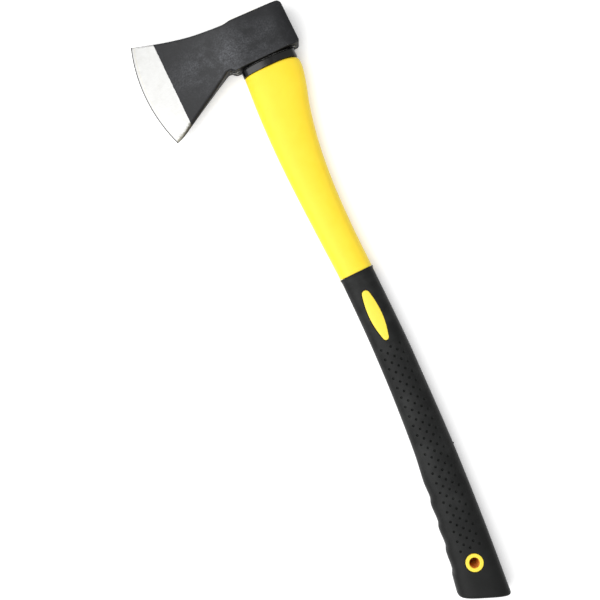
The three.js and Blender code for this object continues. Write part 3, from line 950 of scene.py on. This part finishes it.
class Paint:
    """A procedural material being made: short calls add its nodes and link them."""

    def __init__(self, name):
        self.material = bpy.data.materials.new(name)
        self.material.use_nodes = True
        self.tree = self.material.node_tree
        self.shader = self.tree.nodes["Principled BSDF"]
        self.place = self.node("ShaderNodeTexCoord").outputs["Object"]

    def put(self, socket, value):
        if isinstance(value, bpy.types.NodeSocket):
            self.tree.links.new(value, socket)
        elif isinstance(value, (tuple, list)) and len(value) == 3 and len(socket.default_value) == 4:
            socket.default_value = (*value, 1)
        else:
            socket.default_value = value

    def node(self, kind, inputs=(), **settings):
        made = self.tree.nodes.new(kind)
        for name, value in settings.items():
            setattr(made, name, value)
        for key, value in dict(inputs).items():
            self.put(made.inputs[key], value)
        return made

    def maths(self, operation, first, second=0.0, third=0.0, clamp=False):
        inputs = {0: first, 1: second, 2: third}
        made = self.node("ShaderNodeMath", inputs, operation=operation, use_clamp=clamp)
        return made.outputs[0]

    def vector(self, operation, first, second=(0.0, 0.0, 0.0), output="Vector"):
        return self.node("ShaderNodeVectorMath", {0: first, 1: second}, operation=operation).outputs[output]

    def millimetres(self):
        """The place in millimetres of the shaping frame."""
        scaled = self.vector("MULTIPLY", self.place, (1 / MM,) * 3)
        return self.vector("SUBTRACT", scaled, tuple(float(v) for v in SHIFT))

    def station(self):
        """The place along the handle, in millimetres."""
        return self.node("ShaderNodeSeparateXYZ", {0: self.millimetres()}).outputs["Y"]

    def from_hole(self):
        """The distance from the hanging hole's axis, in millimetres."""
        away = self.vector("SUBTRACT", self.millimetres(), (RING["x"], RING["y"], 0.0))
        flat = self.vector("MULTIPLY", away, (1.0, 1.0, 0.0))
        return self.vector("LENGTH", flat, output="Value")

    def noise(self, size, detail=3.0, roughness=0.5, stretch=(1, 1, 1), offset=0.0):
        """Noise from about 0.3 to 0.7 with features of a size in millimetres, stretched by axis."""
        scale = tuple(1 / (size * MM * k) for k in stretch)
        place = self.vector("ADD", self.vector("MULTIPLY", self.place, scale), (offset,) * 3)
        inputs = {"Vector": place, "Scale": 1.0, "Detail": detail, "Roughness": roughness}
        return self.node("ShaderNodeTexNoise", inputs).outputs["Fac"]

    def remap(self, value, start, end, low=0.0, high=1.0):
        inputs = {"Value": value, "From Min": start, "From Max": end, "To Min": low, "To Max": high}
        return self.node("ShaderNodeMapRange", inputs, clamp=True).outputs["Result"]

    def mix(self, share, first, second):
        """A colour share of the way from first to second."""
        made = self.node("ShaderNodeMix", {0: share, 6: first, 7: second}, data_type="RGBA")
        return made.outputs[2]

    def blend(self, share, first, second):
        """A number share of the way from first to second."""
        return self.node("ShaderNodeMix", {0: share, 2: first, 3: second}, data_type="FLOAT").outputs[0]

    def bump(self, height, strength, depth):
        """A normal from a height in 0..1 and the depth in millimetres it stands for."""
        inputs = {"Height": height, "Strength": strength, "Distance": depth * MM}
        return self.node("ShaderNodeBump", inputs).outputs["Normal"]

    def finish(self, **sockets):
        for name, value in sockets.items():
            self.put(self.shader.inputs[name.replace("_", " ")], value)
        return self.material


def give(piece, material):
    piece.data.materials.clear()
    piece.data.materials.append(material)


def painted_steel():
    """Satin paint, a little mottled, up to a straight mask line; ground steel beyond it. Painted shade
    darkens the steep faces, the heel facet and a line along the cutting edge.
    """
    paint = Paint("painted_steel")
    here = paint.millimetres()
    (ax, ay), (bx, by) = MASK
    length = math.hypot(bx - ax, by - ay)
    across = ((by - ay) / length, (ax - bx) / length, 0.0)
    offset = across[0] * ax + across[1] * ay
    past = paint.maths("SUBTRACT", paint.vector("DOT_PRODUCT", here, across, "Value"), offset)
    ragged = paint.remap(paint.noise(2.2, 3), 0.3, 0.7, -0.25, 0.25)
    ground = paint.remap(paint.maths("ADD", past, ragged), -0.12, 0.12)

    # The paint is paler and mottled in the middle of the cheeks.
    from_patch = paint.vector("SUBTRACT", here, PALE_PATCH)
    from_patch = paint.vector("MULTIPLY", from_patch, (1 / PALE_REACH[0], 1 / PALE_REACH[1], 0.0))
    patch = paint.remap(paint.vector("LENGTH", from_patch, output="Value"), 0.2, 1.25, 1.0, 0.12)
    clouds = paint.remap(paint.noise(22, 6, 0.7, offset=5.3), 0.40, 0.62, 0.12, 1.0)
    specks = paint.remap(paint.noise(1.8, 3, 0.75), 0.38, 0.62, 0.15, 1.0)
    pale_mottle = paint.maths("MULTIPLY", paint.maths("MULTIPLY", clouds, patch), specks)
    # Painted shade: faces that stand steep round the head's edges are painted darker and given less specular.
    facing = paint.node("ShaderNodeNewGeometry").outputs["Normal"]
    facing = paint.vector("DOT_PRODUCT", facing, (0, 0, 1), "Value")
    wall = paint.remap(paint.maths("ABSOLUTE", facing), 0.4, 0.85, 1.0, 0.0)
    black = paint.mix(pale_mottle, (0.0036, 0.0040, 0.0052), (0.086, 0.089, 0.098))
    black = paint.mix(wall, black, (0.0022, 0.0022, 0.0024))
    paint_gloss = paint.blend(pale_mottle, 0.46, 0.6)

    from_arc = paint.vector("MULTIPLY", here, (1.0, 1.0, 0.0))
    centre = (EDGE_CENTRE[0], EDGE_CENTRE[1], 0.0)
    back = paint.maths("SUBTRACT", EDGE_RADIUS, paint.vector("DISTANCE", from_arc, centre, "Value"))
    from_bevel = paint.maths("ABSOLUTE", paint.maths("SUBTRACT", back, MICRO_BEVEL))
    crease = paint.remap(from_bevel, 0.1, 0.5, 1.0, 0.0)
    # Painted shade: a dark line along the last millimetre of the cutting edge.
    edge = paint.remap(back, 0.7, 1.3, 1.0, 0.0)
    scratches = paint.noise(0.5, 4, 0.65, stretch=(26, 1, 1))
    stains = paint.remap(paint.noise(9, 5, 0.6), 0.5, 0.75, 0.0, 0.35)
    bare = paint.mix(stains, (0.465, 0.465, 0.457), (0.40, 0.395, 0.375))
    bare = paint.mix(paint.maths("MULTIPLY", crease, 0.4), bare, (0.45, 0.41, 0.27))
    # Painted shade: the ground facet across the heel's lower edge is painted dark, for the dark it reflects.
    heel = paint.vector("SUBTRACT", here, (BEARD[1][0], BEARD[1][1], 0.0))
    heel = paint.vector("DOT_PRODUCT", heel, (*HEEL_SIDE, 0.0), "Value")
    heel = paint.maths("MULTIPLY_ADD", paint.noise(2.6, 4, 0.65), 9.0, heel)
    heel = paint.remap(heel, 0.4, 3.2, 0.0, 0.85)
    bare = paint.mix(heel, bare, (0.115, 0.108, 0.075))
    # Painted shade on the bare steel: dark along the cutting edge and on the steep faces.
    bare = paint.mix(paint.maths("MAXIMUM", edge, wall), bare, (0.025, 0.025, 0.023))
    bare_gloss = paint.remap(scratches, 0.3, 0.7, 0.42, 0.58)

    peel = paint.noise(1.0, 3, 0.55)
    height = paint.blend(ground, peel, scratches)
    strength = paint.blend(ground, 0.35, 0.12)
    return paint.finish(
        Base_Color=paint.mix(ground, black, bare),
        Roughness=paint.blend(ground, paint_gloss, bare_gloss),
        Metallic=ground,
        Specular_IOR_Level=paint.blend(wall, 0.35, 0.1),
        Normal=paint.bump(height, strength, 0.12),
    )


def gasket_rubber():
    """Glossy black, with faint smears."""
    paint = Paint("gasket_rubber")
    smear = paint.noise(3, 4, 0.6, stretch=(1, 3, 1))
    return paint.finish(
        Base_Color=paint.mix(paint.remap(smear, 0.4, 0.7), (0.0025, 0.0025, 0.0024), (0.006, 0.006, 0.0058)),
        Roughness=paint.remap(smear, 0.3, 0.7, 0.12, 0.28),
        Specular_IOR_Level=0.42,
        Normal=paint.bump(paint.noise(1.6, 2), 0.25, 0.1),
    )


def cast_resin():
    """Cloudy grey, cured with small bubbles."""
    paint = Paint("cast_resin")
    cloud = paint.remap(paint.noise(2.4, 4, 0.6), 0.35, 0.65)
    return paint.finish(
        Base_Color=paint.mix(cloud, (0.05, 0.05, 0.048), (0.22, 0.22, 0.21)),
        Roughness=paint.remap(paint.noise(1.1, 2), 0.3, 0.7, 0.1, 0.3),
        Transmission_Weight=0.25,
        IOR=1.55,
        Normal=paint.bump(paint.noise(0.8, 3), 0.4, 0.15),
    )


def glass_fibre():
    """Resin with fibres along the bar, which show as dots on the sawn end."""
    paint = Paint("glass_fibre")
    fibres = paint.remap(paint.noise(0.5, 3, 0.6, stretch=(1, 40, 1)), 0.35, 0.65)
    return paint.finish(
        Base_Color=paint.mix(fibres, (0.36, 0.24, 0.07), (0.62, 0.5, 0.24)),
        Roughness=paint.remap(fibres, 0.0, 1.0, 0.38, 0.6),
        Normal=paint.bump(fibres, 0.4, 0.08),
    )


def yellow_plastic():
    """Satin moulded plastic, with the bore of the hanging hole painted an orange brown shade, matt and
    without specular.
    """
    paint = Paint("yellow_plastic")
    bore = paint.remap(paint.from_hole(), RING["hole"] + 0.02, RING["hole"] + 0.14, 1.0, 0.0)
    cloud = paint.remap(paint.noise(14, 4, 0.55), 0.35, 0.65)
    yellow = paint.mix(cloud, (0.88, 0.64, 0.030), (0.89, 0.66, 0.036))
    on_land = paint.remap(paint.station(), GRIP_TOP, GRIP_TOP + 5)
    yellow = paint.mix(on_land, yellow, (0.88, 0.665, 0.062))
    # Painted shade in the hanging hole's bore: a mottled orange brown.
    bore_mottle = paint.remap(paint.noise(1.6, 3), 0.35, 0.65)
    brown = paint.mix(bore_mottle, (0.74, 0.29, 0.052), (0.80, 0.34, 0.07))
    grain = paint.noise(0.4, 2, 0.5)
    return paint.finish(
        Base_Color=paint.mix(bore, yellow, brown),
        Roughness=paint.blend(bore, paint.remap(cloud, 0.0, 1.0, 0.42, 0.5), 0.9),
        Specular_IOR_Level=paint.blend(bore, 0.3, 0.0),
        Subsurface_Weight=0.3,
        Subsurface_Radius=(1.0, 0.7, 0.2),
        Subsurface_Scale=6 * MM,
        Normal=paint.bump(grain, 0.12, 0.06),
    )


def grip_rubber():
    """Matt black rubber with a fine grain, slightly rubbed."""
    paint = Paint("grip_rubber")
    rubbed = paint.remap(paint.noise(22, 5, 0.6), 0.42, 0.68)
    held = paint.remap(paint.station(), 480, 590, 1.0, 0.25)
    rubbed = paint.maths("MULTIPLY", rubbed, held)
    grain = paint.noise(0.45, 3, 0.6)
    return paint.finish(
        Base_Color=paint.mix(rubbed, (0.0034, 0.0038, 0.0036), (0.0130, 0.0138, 0.0134)),
        Roughness=paint.remap(grain, 0.3, 0.7, 0.5, 0.66),
        Specular_IOR_Level=0.23,
        Normal=paint.bump(grain, 0.4, 0.1),
    )


give(head, painted_steel())
give(collar, gasket_rubber())
give(bead, cast_resin())
give(core, glass_fibre())
give(jacket, yellow_plastic())
give(grip, grip_rubber())

# ---- floor, light and camera ----


def floor():
    """A pale floor that glows enough to keep the shadows narrow, with painted shade under the hanging hole:
    brown there and not glowing.
    """
    size = 6
    corners = [(-size, -size, 0), (size, -size, 0), (size, size, 0), (-size, size, 0)]
    mesh = bpy.data.meshes.new("floor")
    mesh.from_pydata(corners, [], [(0, 1, 2, 3)])
    ground = bpy.data.objects.new("floor", mesh)
    bpy.context.scene.collection.objects.link(ground)
    paint = Paint("floor")
    pale = paint.mix(paint.remap(paint.noise(400, 2), 0.3, 0.7), (0.88, 0.88, 0.88), (0.9, 0.9, 0.9))
    # shade is 0 under the hanging hole, where the floor is painted a brown shade and does not glow.
    shade = paint.remap(paint.from_hole(), RING["outer"] - 2, RING["outer"])
    give(ground, paint.finish(
        Base_Color=paint.mix(shade, (0.75, 0.30, 0.07), pale),
        Roughness=0.9,
        Emission_Color=(1, 1, 1),
        Emission_Strength=paint.maths("MULTIPLY", shade, FLOOR_GLOW),
    ))


def softbox():
    """One large soft light, above the axe and to the side of its cutting edge, aimed at it."""
    data = bpy.data.lights.new("softbox", "AREA")
    data.shape = "RECTANGLE"
    data.size, data.size_y = BOX_SIZE
    data.energy = BOX_RADIANCE * math.pi * BOX_SIZE[0] * BOX_SIZE[1]
    tilt = math.radians(BOX_TILT)
    light = bpy.data.objects.new("softbox", data)
    light.location = (BOX_DISTANCE * math.sin(tilt), 0, BOX_DISTANCE * math.cos(tilt))
    light.rotation_euler = (0, tilt, 0)
    bpy.context.scene.collection.objects.link(light)


def fill():
    """Weak even light from all round."""
    made = bpy.data.worlds.new("studio")
    bpy.context.scene.world = made
    made.use_nodes = True
    made.node_tree.nodes["Background"].inputs["Color"].default_value = (1, 1, 1, 1)
    made.node_tree.nodes["Background"].inputs["Strength"].default_value = FILL


def camera():
    data = bpy.data.cameras.new("camera")
    data.sensor_width = CAMERA["sensor"]
    data.lens = CAMERA["lens"]
    eye = bpy.data.objects.new("camera", data)
    eye.location = CAMERA["place"]
    eye.rotation_euler = (0, 0, math.radians(CAMERA["turn"]))
    bpy.context.scene.collection.objects.link(eye)
    bpy.context.scene.camera = eye


floor()
softbox()
fill()
camera()
bpy.context.scene.view_settings.view_transform = "Standard"
